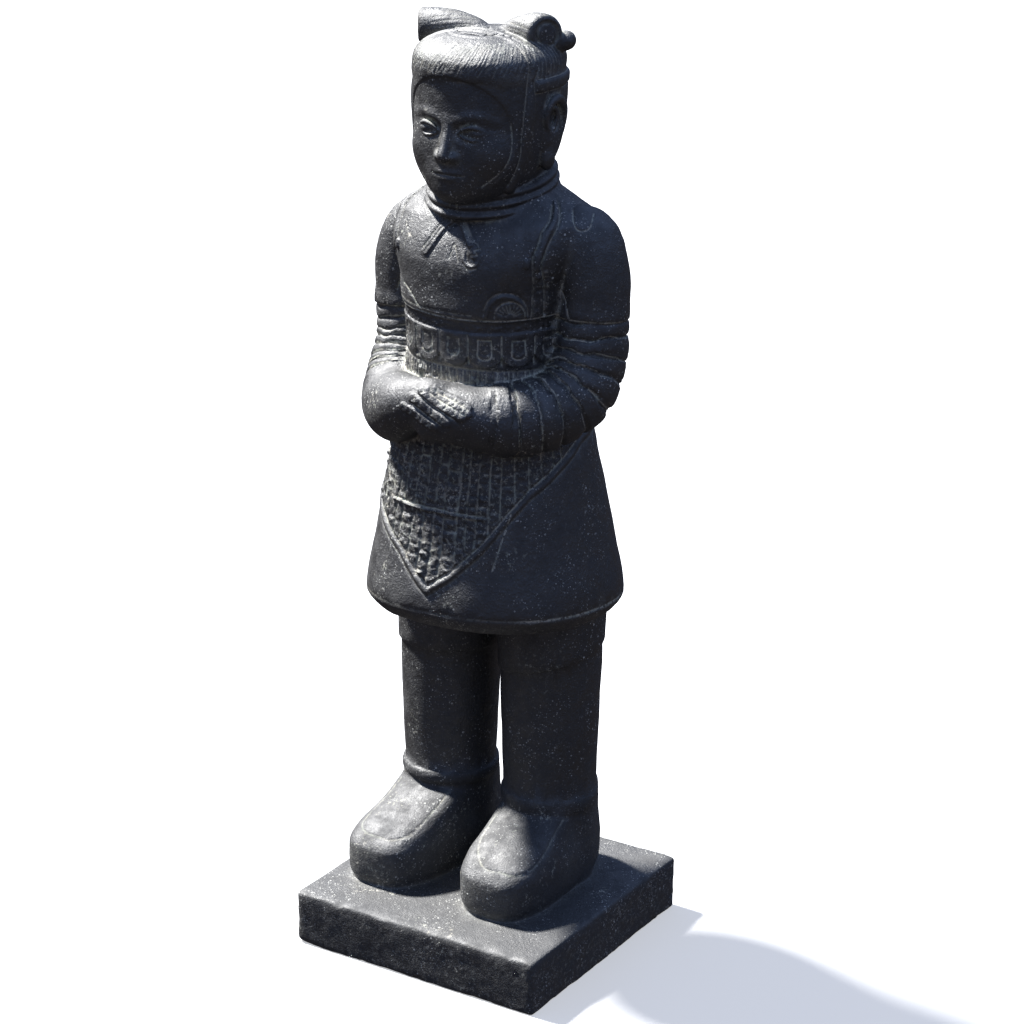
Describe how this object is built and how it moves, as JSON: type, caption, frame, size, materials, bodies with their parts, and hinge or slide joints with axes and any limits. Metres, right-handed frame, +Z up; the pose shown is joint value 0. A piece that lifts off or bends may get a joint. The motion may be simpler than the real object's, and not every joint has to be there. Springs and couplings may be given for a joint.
{
  "type": "guardian statue",
  "caption": "Standing robed guard with folded hands, rolled hair and an armoured apron, carved with its square slab from one block of dark stone.",
  "frame": {"origin": "centre of the slab's underside, on the surface that the statue stands on", "axes": "+Z up, the figure faces -Y, its left hand side is +X"},
  "size_m": [0.304, 0.304, 1.0147],
  "materials": {
    "stone": "hand-rubbed dark stone with a satin sheen, fine pale specks, small pits and pale dust in the carving"
  },
  "bodies": {
    "root": {"statue": "stone"}
  },
  "joints": []
}
